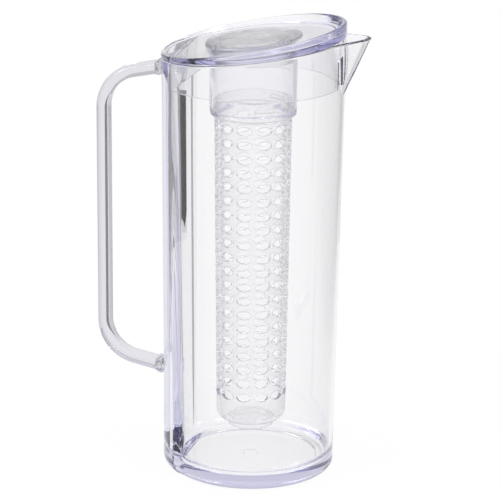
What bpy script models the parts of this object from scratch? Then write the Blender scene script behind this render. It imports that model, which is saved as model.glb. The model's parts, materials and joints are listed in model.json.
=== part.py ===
"""Clear infusion pitcher: a slanted-rim jug with a solid upright back, a bonded loop handle, a wedge
lid with a raised rim, and a perforated infuser rod that twists into the collar under the lid."""
import math

import bmesh
import bpy
from mathutils import Vector

MM = 0.001
DEG = math.pi / 180
GAP = 0.3 * MM                      # daylight between pieces that touch

# Jug wall, measured from the axis of the round wall
BASE_RADIUS = 57.45 * MM            # outer radius at the table
WALL_DRAFT = 0.01698                # growth of that radius per unit of height
WALL = 2.8 * MM
BACK_RADIUS = 60.7 * MM             # outer radius of the nearly upright back that carries the handle
BACK_DRAFT = 0.0045
BACK_EDGE = 40 * DEG                # bearing from mid back where the back starts to run out
BACK_END = 50 * DEG                 # bearing where it has run out into the round wall
INNER_FLAT = 46.8 * MM              # axis to the flat inside of the back, so the back is thick
INNER_FLAT_DRAFT = 0.008
INNER_FILLET = 3.0 * MM             # upright corners beside that flat

# Jug rim and floor
RIM_HEIGHT = 298.4 * MM             # rim plane on the axis
RIM_SLOPE = 0.127                   # rim plane rises towards the spout
RIM_CHAMFER = 0.6 * MM
FLOOR_HEIGHT = 8.5 * MM
FLOOR_FILLET = 8.0 * MM
FOOT_ROUND = 4.0 * MM               # rounded lower edge of the jug
BACK_FOOT_ROUND = 7.0 * MM          # the same edge under the upright back
RECESS_RADIUS = 46.5 * MM           # shallow recess that leaves a foot ring
RECESS_DEPTH = 1.2 * MM

# Spout
SPOUT_FOOT = 268.0 * MM             # height where the spout leaves the wall
SPOUT_REACH = 80.0 * MM             # axis to the lip
SPOUT_HALF_WIDTH = 17.0 * MM        # at the rim
SPOUT_ROOT_HALF_WIDTH = 4.0 * MM    # at its foot
SPOUT_ROUNDNESS = 2.2               # 1 is a sharp V, 2 a parabola

# Handle
HANDLE_REACH = 109.3 * MM           # axis to the outer face of the grip
BAR_DEPTH = 8.8 * MM                # bar section in the plane of the loop
BAR_WIDTH = 12.0 * MM               # bar section across the loop
BAR_ROUND = 3.0 * MM
ARM_SLOPE = 0.2035                  # arms spread towards the jug
UPPER_ARM_HEIGHT = 271.9 * MM       # where the upper arm's line crosses the grip's line
LOWER_ARM_HEIGHT = 74.8 * MM
BEND_RADIUS = 27.0 * MM
STUB_REACH = 62.4 * MM              # axis to the face of the low moulded seats on the back
STUB_FLARE = 1.12
COLLAR_LENGTH = 3.9 * MM            # thicker ends of the handle
COLLAR_SCALE = 1.2
PIN_RADIUS = 2.5 * MM               # locating pin of each stub
PIN_LENGTH = 4.0 * MM

# Lid
LID_RADIUS = 62.5 * MM
PLATE = 2.8 * MM
CREST_HEIGHT = 305.25 * MM          # top of the raised rim on the axis
CREST_SLOPE = 0.179
LID_RIM_WIDTH = 4.1 * MM
SKIRT_CLEARANCE = 0.7 * MM
SKIRT_WALL = 2.2 * MM
SKIRT_BOTTOM = 273.0 * MM
SOCKET_RADIUS = 29.7 * MM           # collar that holds the infuser rod, outside
SOCKET_BORE = 27.3 * MM
SOCKET_BOTTOM = 255.5 * MM
NOTCH_HALF_WIDTH = 7.0 * MM         # pouring notch in the skirt
NOTCH_TOP = 294.0 * MM

# Cap over the collar
CAP_RADIUS = 32.7 * MM
CAP_RISE = 2.5 * MM
CAP_DOME = 0.6 * MM
CAP_WALL = 2.0 * MM
CAP_BOTTOM = 290.0 * MM

# Twist lock between collar and rod
LOCK_COUNT = 3
RAMP_SPAN = 50 * DEG
RAMP_BORE = 26.4 * MM
RAMP_BOTTOM = 256.0 * MM
RAMP_TOP = 258.0 * MM
LUG_SPAN = 36 * DEG
LUG_RADIUS = 27.0 * MM
LUG_BOTTOM = 258.4 * MM
LUG_TOP = 260.6 * MM

# Infuser rod
ROD_TOP = 264.0 * MM
NECK_RADIUS = 26.0 * MM
BEAD_RADIUS = 29.5 * MM
TUBE_TOP = 250.5 * MM
TUBE_TOP_RADIUS = 26.4 * MM
TUBE_BOTTOM = 41.0 * MM
TUBE_BOTTOM_RADIUS = 24.0 * MM
ROD_WALL = 2.2 * MM
BOWL_ROUND = 8.0 * MM
ROD_FOOT_RADIUS = 15.6 * MM
ROD_FOOT_WALL = 2.4 * MM
ROD_FOOT_BOTTOM = 29.0 * MM
HOLE_COLUMNS = 12
HOLE_ROWS = 20
HOLE_PITCH = 10.0 * MM
FIRST_ROW = 55.0 * MM
HOLE_HALF_WIDTH = 5.2 * MM
HOLE_HALF_HEIGHT = 2.9 * MM

# Smoothness
FLAT_STEPS = 4
FILLET_STEPS = 2
RUN_OUT_STEPS = 3
ARC_STEPS = 11
ARC_LEAD = 3 * DEG
SPOUT_STEPS = 4
BEND_STEPS = 6
CAP_STEPS = 32

# The frame's origin is under the middle of handle and spout, so the axis stands off it
AXIS_X = (HANDLE_REACH - SPOUT_REACH) / 2


# Lofting
def new_object(name, mesh_builder, parent):
    """Object from a closed mesh, its faces turned outwards."""
    bmesh.ops.recalc_face_normals(mesh_builder, faces=mesh_builder.faces)
    mesh = bpy.data.meshes.new(name)
    mesh_builder.to_mesh(mesh)
    mesh_builder.free()
    mesh.shade_smooth()
    mesh.set_sharp_from_angle(angle=35 * DEG)
    item = bpy.data.objects.new(name, mesh)
    bpy.context.collection.objects.link(item)
    item.parent = parent
    return item


def add_loft(builder, rings, closed=False):
    """Skin rings of equal count; an open loft gets a face over each end."""
    loops = [[builder.verts.new(point) for point in ring] for ring in rings]
    pairs = list(zip(loops, loops[1:]))
    if closed:
        pairs.append((loops[-1], loops[0]))
    for lower, upper in pairs:
        for k in range(len(lower)):
            n = (k + 1) % len(lower)
            builder.faces.new((lower[k], lower[n], upper[n], upper[k]))
    if not closed:
        builder.faces.new(loops[0])
        builder.faces.new(loops[-1])


def loft_object(name, rings, parent, closed=False):
    builder = bmesh.new()
    add_loft(builder, rings, closed)
    return new_object(name, builder, parent)


def level(height):
    """Height function of a level ring."""
    return lambda x: height


def above(height, lift):
    """Height function a fixed lift over another one."""
    return lambda x: height(x) + lift


def rim_plane(x):
    return RIM_HEIGHT + RIM_SLOPE * x


def crest_plane(x):
    return CREST_HEIGHT + CREST_SLOPE * x


# Plan of the jug: round wall, thick back that is round outside and flat inside, spout
def wall_radius(z):
    return BASE_RADIUS + WALL_DRAFT * z


def back_share(bearing):
    """1 on the upright back, 0 on the round wall, from the bearing off mid back."""
    share = (BACK_END - abs(bearing)) / (BACK_END - BACK_EDGE)
    share = min(max(share, 0.0), 1.0)
    return share * share * (3 - 2 * share)


def outside_radius(z, bearing):
    proud = max(BACK_RADIUS + BACK_DRAFT * z - wall_radius(z), 0.0)
    return wall_radius(z) + proud * back_share(bearing)


def inside_back(z, inset):
    """Half the flat inside of the back with its corner, and the bearing where the round wall starts."""
    radius = wall_radius(z) - WALL - inset
    flat = INNER_FLAT + INNER_FLAT_DRAFT * z - inset
    fillet = max(INNER_FILLET - inset, 1 * MM)
    centre_y = math.sqrt((radius - fillet) ** 2 - (flat - fillet) ** 2)
    turn = math.atan2(centre_y, flat - fillet)
    points = [(-flat, centre_y * k / FLAT_STEPS) for k in range(FLAT_STEPS)]
    for k in range(FILLET_STEPS + 1):
        angle = turn * k / FILLET_STEPS
        points.append((-(flat - fillet) - fillet * math.cos(angle), centre_y + fillet * math.sin(angle)))
    return points, turn


def half_plan(z, inset, spout, inside):
    """Points at height z from mid back to the lip; spout runs from 0 at its foot to 1 at the rim."""
    back, turn = inside_back(z, inset if inside else 0.0)
    depth = inset + WALL if inside else inset
    radius = wall_radius(z) - depth
    half_width = SPOUT_ROOT_HALF_WIDTH + (SPOUT_HALF_WIDTH - SPOUT_ROOT_HALF_WIDTH) * spout
    half_width = max(half_width - depth, 1.4 * MM)
    start = turn + ARC_LEAD
    end = math.pi - math.asin(half_width / radius)
    bearings = [start + (BACK_END - start) * k / RUN_OUT_STEPS for k in range(RUN_OUT_STEPS)]
    bearings += [BACK_END + (end - BACK_END) * k / ARC_STEPS for k in range(ARC_STEPS)]
    if inside:
        points = back + [(-radius * math.cos(a), radius * math.sin(a)) for a in bearings]
    else:
        points = []
        for bearing in [math.atan2(y, -x) for x, y in back] + bearings:
            reach = outside_radius(z, bearing) - depth
            points.append((-reach * math.cos(bearing), reach * math.sin(bearing)))
    edge_x = math.sqrt(radius ** 2 - half_width ** 2)
    lip = wall_radius(min(z, SPOUT_FOOT)) + spout * (SPOUT_REACH - wall_radius(SPOUT_FOOT))
    lip = max(lip - 1.1 * depth, radius)
    for k in range(SPOUT_STEPS + 1):
        across = 1 - k / SPOUT_STEPS
        points.append((lip - (lip - edge_x) * across ** SPOUT_ROUNDNESS, across * half_width))
    return points


def mirror_ring(half):
    return half + [Vector((p.x, -p.y, p.z)) for p in half[-2:0:-1]]


def plan_ring(inset, height, spout=0.0, inside=False):
    """Closed ring of the plan, each point at the height that height(x) gives it."""
    half = []
    for k in range(len(half_plan(0, inset, spout, inside))):
        z = height(0)
        for _ in range(6):
            x, y = half_plan(z, inset, spout, inside)[k]
            z = height(x)
        half.append(Vector((x, y, z)))
    return mirror_ring(half)


def foot_ring(turn):
    """Ring of the rounded lower edge, which is larger under the upright back."""
    half = []
    for x, y in half_plan(0, 0.0, 0.0, False):
        bearing = math.atan2(y, -x)
        edge = FOOT_ROUND + (BACK_FOOT_ROUND - FOOT_ROUND) * back_share(bearing)
        z = edge * (1 - math.cos(turn))
        reach = math.hypot(x, y) + WALL_DRAFT * z - edge * (1 - math.sin(turn))
        half.append(Vector((-reach * math.cos(bearing), reach * math.sin(bearing), z)))
    return mirror_ring(half)


def round_ring(radius, height):
    """Round ring with a point at the same bearing as each point of the jug's plan."""
    ring = []
    for point in plan_ring(0, level(RIM_HEIGHT), inside=True):
        bearing = math.atan2(point.y, point.x)
        x = radius * math.cos(bearing)
        ring.append(Vector((x, radius * math.sin(bearing), height(x))))
    return ring


def even_ring(radius, height, steps):
    """Round ring with evenly spaced points."""
    ring = []
    for k in range(steps):
        x = radius * math.cos(k * math.tau / steps)
        ring.append(Vector((x, radius * math.sin(k * math.tau / steps), height(x))))
    return ring


# Handle section and path
def bar_section(scale=1.0):
    """Rounded rectangle across the bar, as (across, in plane) pairs."""
    points = []
    for turn in range(4):
        for k in range(3):
            angle = (turn + k / 2) * math.pi / 2
            sign_a = 1 if turn in (0, 3) else -1
            sign_b = 1 if turn in (0, 1) else -1
            across = sign_a * (BAR_WIDTH / 2 - BAR_ROUND) + BAR_ROUND * math.cos(angle)
            depth = sign_b * (BAR_DEPTH / 2 - BAR_ROUND) + BAR_ROUND * math.sin(angle)
            points.append((across * scale, depth * scale))
    return points


def pin_section(radius):
    """Circle with the same count of points as the bar's section."""
    count = len(bar_section())
    angles = [(k + 0.5) * math.tau / count - math.pi / count for k in range(count)]
    return [(radius * math.cos(a), radius * math.sin(a)) for a in angles]


def upright_ring(section, x, z, flip=1):
    """Section standing in a plane across the loop's arms."""
    return [Vector((x, across, z + flip * depth)) for across, depth in section]


def arm_height(x, sign):
    """Height of an arm's centre line; sign is 1 for the upper arm and -1 for the lower."""
    corner = UPPER_ARM_HEIGHT if sign > 0 else LOWER_ARM_HEIGHT
    return corner + sign * ARM_SLOPE * (x + HANDLE_REACH - BAR_DEPTH / 2)


def bend_rings(sign):
    """Rings round a bend, from the grip to the arm."""
    grip_x = -HANDLE_REACH + BAR_DEPTH / 2
    sweep = math.pi / 2 - math.atan(ARM_SLOPE)
    centre_x = grip_x + BEND_RADIUS
    centre_z = arm_height(grip_x, sign) - sign * BEND_RADIUS * math.tan(sweep / 2)
    rings = []
    for k in range(BEND_STEPS + 1):
        angle = sweep * k / BEND_STEPS
        out = Vector((-math.cos(angle), 0, sign * math.sin(angle)))
        centre = Vector((centre_x, 0, centre_z)) + out * BEND_RADIUS
        rings.append([centre - out * depth + Vector((0, across, 0)) for across, depth in bar_section()])
    return rings


# Pieces
def build_jug(parent):
    rises = (0.35, 0.7)
    outer = [foot_ring(k * math.pi / 4) for k in range(3)]
    outer += [plan_ring(0, level(height * MM)) for height in (110, 205)]
    outer.append(plan_ring(0, level(SPOUT_FOOT)))

    def risen(rise, drop=0.0):
        return lambda x: SPOUT_FOOT + rise * (rim_plane(x) - SPOUT_FOOT) - drop

    outer += [plan_ring(0, risen(rise), rise) for rise in rises]
    outer.append(plan_ring(0, risen(1, RIM_CHAMFER), 1))
    rim = [plan_ring(RIM_CHAMFER, rim_plane, 1), plan_ring(-RIM_CHAMFER, rim_plane, 1, True)]
    inner = [plan_ring(0, risen(1, RIM_CHAMFER), 1, True)]
    inner += [plan_ring(0, risen(rise), rise, True) for rise in reversed(rises)]
    inner.append(plan_ring(0, level(SPOUT_FOOT), 0, True))
    inner += [plan_ring(0, level(height * MM), 0, True) for height in (205, 110)]
    for k in range(3):
        angle = k * math.pi / 4
        inner.append(plan_ring(FLOOR_FILLET * (1 - math.cos(angle)),
                               level(FLOOR_HEIGHT + FLOOR_FILLET * (1 - math.sin(angle))), 0, True))
    recess = [round_ring(RECESS_RADIUS - RECESS_DEPTH, level(RECESS_DEPTH)),
              round_ring(RECESS_RADIUS, level(0))]
    jug = loft_object("pitcher_body", recess + outer + rim + inner, parent)
    for sign, word in ((1, "upper"), (-1, "lower")):
        join(jug, build_stub(word, sign, parent), "UNION")
    return jug


def build_stub(word, sign, parent):
    """Low moulded seat with its locating pin, sunk a little into the back."""
    end = -STUB_REACH
    stations = ((end + 4 * MM, STUB_FLARE), (end + 0.3 * MM, STUB_FLARE), (end, STUB_FLARE - 0.04))
    rings = [upright_ring(bar_section(scale), x, arm_height(x, sign)) for x, scale in stations]
    rings.append(upright_ring(pin_section(PIN_RADIUS), end, arm_height(end, sign)))
    tip = end - PIN_LENGTH
    rings.append(upright_ring(pin_section(PIN_RADIUS), tip, arm_height(tip, sign)))
    return loft_object("cutter_stub_" + word, rings, parent)


def build_handle(parent):
    end = -STUB_REACH - GAP
    socket = pin_section(PIN_RADIUS + GAP)
    depth = end - PIN_LENGTH - GAP
    stations = ((end, COLLAR_SCALE - 0.1), (end - 0.5 * MM, COLLAR_SCALE),
                (end - COLLAR_LENGTH, COLLAR_SCALE), (end - 1.2 * COLLAR_LENGTH, 1.0))

    def arm_end(sign):
        sections = [(depth, socket), (end, socket)]
        sections += [(x, bar_section(scale)) for x, scale in stations]
        return [upright_ring(section, x, arm_height(x, sign), -sign) for x, section in sections]

    lower = arm_end(-1) + list(reversed(bend_rings(-1)))
    upper = bend_rings(1) + list(reversed(arm_end(1)))
    return loft_object("handle", lower + upper, parent)


def build_lid(parent):
    under = above(rim_plane, GAP)
    panel = above(under, PLATE)
    skirt = SKIRT_CLEARANCE
    rim_inner = LID_RADIUS - LID_RIM_WIDTH

    def rim_share(share):
        return lambda x: panel(x) + share * (crest_plane(x) - panel(x))

    rings = [
        round_ring(SOCKET_BORE, panel),
        round_ring(rim_inner - 1.4 * MM, panel),
        round_ring(rim_inner, rim_share(0.35)),
        round_ring(rim_inner + 0.7 * MM, rim_share(0.85)),
        round_ring(rim_inner + 1.6 * MM, crest_plane),
        round_ring(LID_RADIUS - 1.2 * MM, crest_plane),
        round_ring(LID_RADIUS, above(crest_plane, -1.0 * MM)),
        round_ring(LID_RADIUS, above(under, 0.4 * MM)),
        round_ring(LID_RADIUS - 0.5 * MM, under),
        plan_ring(skirt, under, 0, True),
        plan_ring(skirt, level(SKIRT_BOTTOM), 0, True),
        plan_ring(skirt + SKIRT_WALL, level(SKIRT_BOTTOM), 0, True),
        plan_ring(skirt + SKIRT_WALL + 0.4 * MM, under, 0, True),
        round_ring(SOCKET_RADIUS + 0.3 * MM, under),
        round_ring(SOCKET_RADIUS, level(SOCKET_BOTTOM)),
        round_ring(SOCKET_BORE, level(SOCKET_BOTTOM)),
    ]
    lid = loft_object("lid", rings, parent, closed=True)
    join(lid, build_notch(parent), "DIFFERENCE")
    ramps = build_lock("cutter_ramps", RAMP_BORE, SOCKET_BORE + 0.8 * MM,
                       RAMP_BOTTOM, RAMP_TOP, RAMP_SPAN, parent)
    join(lid, ramps, "UNION")
    return lid


def build_notch(parent):
    """Round-topped block that cuts the pouring notch through the skirt."""
    inner_x = 0.75 * BASE_RADIUS
    outer_x = wall_radius(RIM_HEIGHT)
    corner = 3.0 * MM
    outline = [(-NOTCH_HALF_WIDTH, SKIRT_BOTTOM - 3 * MM), (NOTCH_HALF_WIDTH, SKIRT_BOTTOM - 3 * MM)]
    for side in (1, -1):
        for k in range(4):
            angle = k * math.pi / 6 if side > 0 else (3 - k) * math.pi / 6
            y = side * (NOTCH_HALF_WIDTH - corner + corner * math.cos(angle))
            outline.append((y, NOTCH_TOP - corner + corner * math.sin(angle)))
    rings = [[Vector((x, y, z)) for y, z in outline] for x in (inner_x, outer_x)]
    return loft_object("cutter_notch", rings, parent)


def build_lock(name, inner, outer, bottom, top, span, parent):
    """Short curved blocks, evenly spaced, for one half of the twist lock."""
    builder = bmesh.new()
    for number in range(LOCK_COUNT):
        middle = (number + 0.5) * math.tau / LOCK_COUNT
        rings = []
        for k in range(5):
            angle = middle + span * (k / 4 - 0.5)
            ring = [(inner, bottom), (outer, bottom), (outer, top), (inner, top)]
            rings.append([Vector((r * math.cos(angle), r * math.sin(angle), z)) for r, z in ring])
        add_loft(builder, rings)
    return new_object(name, builder, parent)


def build_cap(parent):
    seat = above(rim_plane, GAP + PLATE + GAP)
    top = above(seat, CAP_RISE)
    plug = SOCKET_BORE - GAP - 0.1 * MM
    profile = ((0.55 * CAP_RADIUS, above(top, CAP_DOME)), (CAP_RADIUS - 3.0 * MM, top),
               (CAP_RADIUS - 0.8 * MM, above(top, -0.6 * MM)), (CAP_RADIUS, above(seat, 0.8 * MM)),
               (CAP_RADIUS, seat), (plug, seat), (plug, level(CAP_BOTTOM)),
               (plug - CAP_WALL, level(CAP_BOTTOM)), (plug - CAP_WALL, above(top, -CAP_WALL)))
    return loft_object("lid_cap", [even_ring(r, height, CAP_STEPS) for r, height in profile], parent)


# Infuser rod
def tube_radius(z):
    share = (z - TUBE_BOTTOM) / (TUBE_TOP - TUBE_BOTTOM)
    return TUBE_BOTTOM_RADIUS + share * (TUBE_TOP_RADIUS - TUBE_BOTTOM_RADIUS)


def tube_point(z, bearing, depth):
    """Point on the tube's wall, depth below its outside."""
    radius = tube_radius(z) - depth
    return Vector((radius * math.cos(bearing), radius * math.sin(bearing), z))


def rod_end_rings(profile):
    steps = 2 * HOLE_COLUMNS
    return [even_ring(radius, level(z), steps) for radius, z in profile]


def build_rod(parent):
    """Tube with rows of oval holes; each hole sits in a cell of the wall with six corners."""
    builder = bmesh.new()
    steps = 2 * HOLE_COLUMNS
    step = math.tau / steps
    low = FIRST_ROW - HOLE_PITCH / 2
    grids = []
    for depth in (0.0, ROD_WALL):
        rows = []
        for row in range(HOLE_ROWS + 1):
            z = low + row * HOLE_PITCH
            rows.append([builder.verts.new(tube_point(z, k * step, depth)) for k in range(steps)])
        grids.append(rows)

    for row in range(HOLE_ROWS):
        z = FIRST_ROW + row * HOLE_PITCH
        for column in range(HOLE_COLUMNS):
            middle = 2 * column
            rims = [add_hole(builder, rows, row, middle, z, depth)
                    for rows, depth in zip(grids, (0.0, ROD_WALL))]
            for k in range(len(rims[0])):
                n = (k + 1) % len(rims[0])
                builder.faces.new((rims[0][k], rims[0][n], rims[1][n], rims[1][k]))

    neck_bore = TUBE_TOP_RADIUS - ROD_WALL
    upper = rod_end_rings((
        (TUBE_TOP_RADIUS, TUBE_TOP), (BEAD_RADIUS - 1.0 * MM, TUBE_TOP + 1.0 * MM),
        (BEAD_RADIUS, TUBE_TOP + 2.6 * MM), (BEAD_RADIUS - 0.4 * MM, SOCKET_BOTTOM - GAP),
        (NECK_RADIUS, SOCKET_BOTTOM - GAP), (NECK_RADIUS, ROD_TOP), (neck_bore, ROD_TOP)))
    bridge(builder, [grids[0][-1]], upper, grids[1][-1])

    bowl = []
    for k in range(3):
        angle = k * math.pi / 4
        bowl.append((TUBE_BOTTOM_RADIUS - BOWL_ROUND * (1 - math.cos(angle)),
                     TUBE_BOTTOM - BOWL_ROUND * math.sin(angle)))
    foot_inner = ROD_FOOT_RADIUS - ROD_FOOT_WALL
    floor = TUBE_BOTTOM - BOWL_ROUND
    outside = rod_end_rings(bowl + [(ROD_FOOT_RADIUS, floor), (ROD_FOOT_RADIUS, ROD_FOOT_BOTTOM),
                                    (foot_inner, ROD_FOOT_BOTTOM), (foot_inner, floor)])
    inside = rod_end_rings([(radius - ROD_WALL, z) for radius, z in bowl[:1]]
                           + [(radius - 0.7 * ROD_WALL, z + ROD_WALL) for radius, z in bowl[1:]])
    cap_end(builder, grids[0][0], outside)
    cap_end(builder, grids[1][0], inside)
    rod = new_object("infuser_rod", builder, parent)
    lugs = build_lock("cutter_lugs", NECK_RADIUS - 0.8 * MM, LUG_RADIUS, LUG_BOTTOM, LUG_TOP,
                      LUG_SPAN, parent)
    join(rod, lugs, "UNION")
    return rod


def add_hole(builder, rows, row, middle, z, depth):
    """One cell of the wall with its hole; returns the hole's rim."""
    steps = len(rows[0])
    around = (1, 0, -1)
    frame = [rows[row + 1][(middle + k) % steps] for k in around]
    frame += [rows[row][(middle - k) % steps] for k in around]
    bearing = middle * math.tau / steps
    corners = ((1, 0.5), (0, 1), (-1, 0.5), (-1, -0.5), (0, -1), (1, -0.5))
    rim = []
    for across, up in corners:
        height = z + up * HOLE_HALF_HEIGHT
        turn = across * HOLE_HALF_WIDTH / tube_radius(z)
        rim.append(builder.verts.new(tube_point(height, bearing + turn, depth)))
    for k in range(len(frame)):
        n = (k + 1) % len(frame)
        builder.faces.new((frame[k], frame[n], rim[n], rim[k]))
    return rim


def bridge(builder, start, rings, end):
    """Skin from a row of vertices through rings to another row."""
    loops = start + [[builder.verts.new(point) for point in ring] for ring in rings] + [end]
    for lower, upper in zip(loops, loops[1:]):
        for k in range(len(lower)):
            n = (k + 1) % len(lower)
            builder.faces.new((lower[k], lower[n], upper[n], upper[k]))


def cap_end(builder, start, rings):
    """Skin from a row of vertices through rings and close the last one."""
    last = [builder.verts.new(point) for point in rings[-1]]
    bridge(builder, [start], rings[:-1], last)
    builder.faces.new(last)


# Finish and assembly
def join(target, other, operation):
    """Boolean with a helper that is left out of the result."""
    other.hide_render = True
    other.display_type = "WIRE"
    modifier = target.modifiers.new(other.name, "BOOLEAN")
    modifier.object = other
    modifier.operation = operation
    modifier.solver = "EXACT"


def clear_plastic(item, colour, roughness, transmission):
    material = bpy.data.materials.new(item.name + "_plastic")
    material.use_nodes = True
    shader = material.node_tree.nodes["Principled BSDF"]
    shader.inputs["Base Color"].default_value = (*colour, 1)
    shader.inputs["Roughness"].default_value = roughness
    shader.inputs["Metallic"].default_value = 0.0
    shader.inputs["Transmission Weight"].default_value = transmission
    item.data.materials.append(material)


def add_axis(name, parent=None, location=(0, 0, 0)):
    axis = bpy.data.objects.new(name, None)
    bpy.context.collection.objects.link(axis)
    axis.parent = parent
    axis.location = location
    return axis


def main():
    for item in list(bpy.data.objects):
        bpy.data.objects.remove(item, do_unlink=True)
    jug_axis = add_axis("jug_axis", location=(AXIS_X, 0, 0))
    lid_axis = add_axis("lid_lift_axis", jug_axis)
    rod_axis = add_axis("infuser_twist_axis", lid_axis)
    clear_plastic(build_jug(jug_axis), (0.95, 0.95, 0.97), 0.03, 1.0)
    clear_plastic(build_handle(jug_axis), (0.95, 0.95, 0.97), 0.03, 1.0)
    clear_plastic(build_lid(lid_axis), (0.93, 0.93, 0.97), 0.03, 1.0)
    clear_plastic(build_cap(lid_axis), (0.82, 0.82, 0.84), 0.25, 0.6)
    clear_plastic(build_rod(rod_axis), (0.95, 0.95, 0.96), 0.06, 1.0)


main()
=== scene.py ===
# %% [markdown]
# # A clear infusion pitcher
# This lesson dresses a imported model: a jug with a handle, a slanted lid with a cap, and a perforated rod
# for fruit that hangs from the lid. All of it is clear plastic, and clear plastic hides nothing: a facet
# or a hidden overlap shows as a stripe. So each piece is modelled again, closed and with a finer surface,
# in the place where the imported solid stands. Sizes are in metres.

import json
import math

import bmesh
import bpy
from mathutils import Matrix, Vector


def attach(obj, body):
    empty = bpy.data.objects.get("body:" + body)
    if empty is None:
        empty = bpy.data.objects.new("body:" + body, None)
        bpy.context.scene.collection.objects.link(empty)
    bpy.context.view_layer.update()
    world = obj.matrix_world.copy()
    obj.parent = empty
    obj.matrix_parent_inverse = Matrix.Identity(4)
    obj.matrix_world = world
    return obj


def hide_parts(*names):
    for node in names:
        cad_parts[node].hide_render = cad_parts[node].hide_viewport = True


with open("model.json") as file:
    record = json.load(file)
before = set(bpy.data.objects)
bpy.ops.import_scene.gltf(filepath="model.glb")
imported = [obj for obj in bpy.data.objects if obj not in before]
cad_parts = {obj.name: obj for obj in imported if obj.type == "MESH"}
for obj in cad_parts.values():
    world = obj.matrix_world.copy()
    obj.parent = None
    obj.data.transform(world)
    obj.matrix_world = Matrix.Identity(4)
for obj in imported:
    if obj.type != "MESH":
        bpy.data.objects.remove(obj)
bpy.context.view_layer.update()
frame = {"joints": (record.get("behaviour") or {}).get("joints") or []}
MM = 0.001
DEG = math.pi / 180
twist = next(joint for joint in frame["joints"] if joint["name"] == "infuser_twist")
AXIS = Vector((twist["pos_m"][0], 0, 0))
print("the jug's upright axis stands at x =", round(AXIS.x, 5))

# %% [markdown]
# ## Working by selection
# An operator works on whatever is selected, so every piece starts with nothing selected. These helpers
# are the clicks that a modeller repeats: leave edit mode, enter it on one piece, pick faces by where they
# lie, and merge one solid into another.

# %% Modes and names
def rest():
    """Object mode, with nothing selected."""
    if bpy.context.object is not None and bpy.context.object.mode != "OBJECT":
        bpy.ops.object.mode_set(mode="OBJECT")
    bpy.ops.object.select_all(action="DESELECT")


def take(piece):
    """Select one piece alone and make it active."""
    rest()
    bpy.context.view_layer.objects.active = piece
    piece.select_set(True)


def edit(piece):
    """Edit mode on one piece, with vertices to select."""
    take(piece)
    bpy.ops.object.mode_set(mode="EDIT")
    bpy.ops.mesh.select_mode(type="VERT")


def name_new(name):
    """Name the piece that an operator has just added, and put its place into its mesh."""
    piece = bpy.context.object
    piece.name = name
    piece.data.name = name
    bpy.ops.object.transform_apply(location=True, rotation=True, scale=True)
    return piece


# %% Picking and merging
DOUBLES = 0.004 * MM
SHARP = 33


def pick_faces(piece, test):
    """In edit mode, select the faces whose middle and normal pass a test; returns how many did."""
    bpy.ops.mesh.select_mode(type="FACE")
    bpy.ops.mesh.select_all(action="DESELECT")
    shape = bmesh.from_edit_mesh(piece.data)
    chosen = [face for face in shape.faces if test(face.calc_center_median(), face.normal)]
    for face in chosen:
        face.select_set(True)
    bmesh.update_edit_mesh(piece.data)
    return len(chosen)


def pick_open_edges():
    """In edit mode, select the loose edges of a surface that isn't closed yet."""
    bpy.ops.mesh.select_mode(type="VERT")
    bpy.ops.mesh.select_all(action="DESELECT")
    bpy.ops.mesh.select_non_manifold(use_wire=False, use_boundary=True, use_multi_face=False,
                                     use_non_contiguous=False, use_verts=False)


def apply_modifier(piece, kind, **settings):
    """Add a modifier with its settings, and apply it at once."""
    take(piece)
    modifier = piece.modifiers.new(kind.title(), kind)
    for key, value in settings.items():
        setattr(modifier, key, value)
    bpy.ops.object.modifier_apply(modifier=modifier.name)


def merge_solid(piece, other, operation):
    """Boolean with a helper solid, which is then thrown away."""
    apply_modifier(piece, "BOOLEAN", object=other, operation=operation, solver="EXACT")
    bpy.data.objects.remove(other, do_unlink=True)


def close_up(piece, sharp=SHARP):
    """Merge doubles, turn the faces outwards, and shade smooth except over real edges."""
    edit(piece)
    bpy.ops.mesh.select_all(action="SELECT")
    bpy.ops.mesh.remove_doubles(threshold=DOUBLES)
    bpy.ops.mesh.normals_make_consistent(inside=False)
    take(piece)
    bpy.ops.object.shade_smooth_by_angle(angle=sharp * DEG)
    if "place" in piece.data.attributes:
        piece.data.attributes.remove(piece.data.attributes["place"])
    print(piece.name, "has", len(piece.data.polygons), "faces")


def even_shading(piece):
    """Shade by the larger faces, so that a small rounding doesn't tilt the tall wall beside it."""
    apply_modifier(piece, "WEIGHTED_NORMAL", keep_sharp=True)


# %% [markdown]
# ## The plan of the jug
# Seen from above the jug is a circle that grows a little towards the rim. Its back is a thick upright block
# that carries the handle, round outside and flat inside, and a spout swells out below the rim. A cylinder
# could be pushed into that shape by hand, but the back and the slanted rim change with height. So the plan is
# written once, as a function of height, and every extruded ring is set down on it.

# %% Sizes of the plan
BASE_RADIUS = 57.45 * MM
WALL_DRAFT = 0.01698
WALL = 2.8 * MM
BACK_RADIUS = 60.7 * MM
BACK_DRAFT = 0.0045
BACK_EDGE, BACK_END = 40 * DEG, 50 * DEG
INNER_FLAT = 46.8 * MM
INNER_FLAT_DRAFT = 0.008
INNER_FILLET = 1.5 * MM
RIM_HEIGHT = 298.4 * MM
RIM_SLOPE = 0.127
SPOUT_FOOT = 268.0 * MM
SPOUT_SWELL = 17.3 * MM
SPOUT_HALF_WIDTH = 23.5 * MM
SPOUT_ROOT_HALF_WIDTH = 6.0 * MM
SPOUT_ARC = 0.45
FLAT_STEPS, FILLET_STEPS, RUN_OUT_STEPS, ARC_STEPS, SPOUT_STEPS = 14, 6, 10, 46, 24
HALF = FLAT_STEPS + FILLET_STEPS + 1 + RUN_OUT_STEPS + ARC_STEPS + SPOUT_STEPS + 1
RING = 2 * HALF - 2


def wall_radius(z):
    """Outer radius of the round wall, which leans out a little on its way up."""
    return BASE_RADIUS + WALL_DRAFT * z


def back_share(bearing):
    """1 on the upright back, 0 on the round wall, by the bearing from mid back."""
    share = min(max((BACK_END - abs(bearing)) / (BACK_END - BACK_EDGE), 0.0), 1.0)
    return share * share * (3 - 2 * share)


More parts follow.
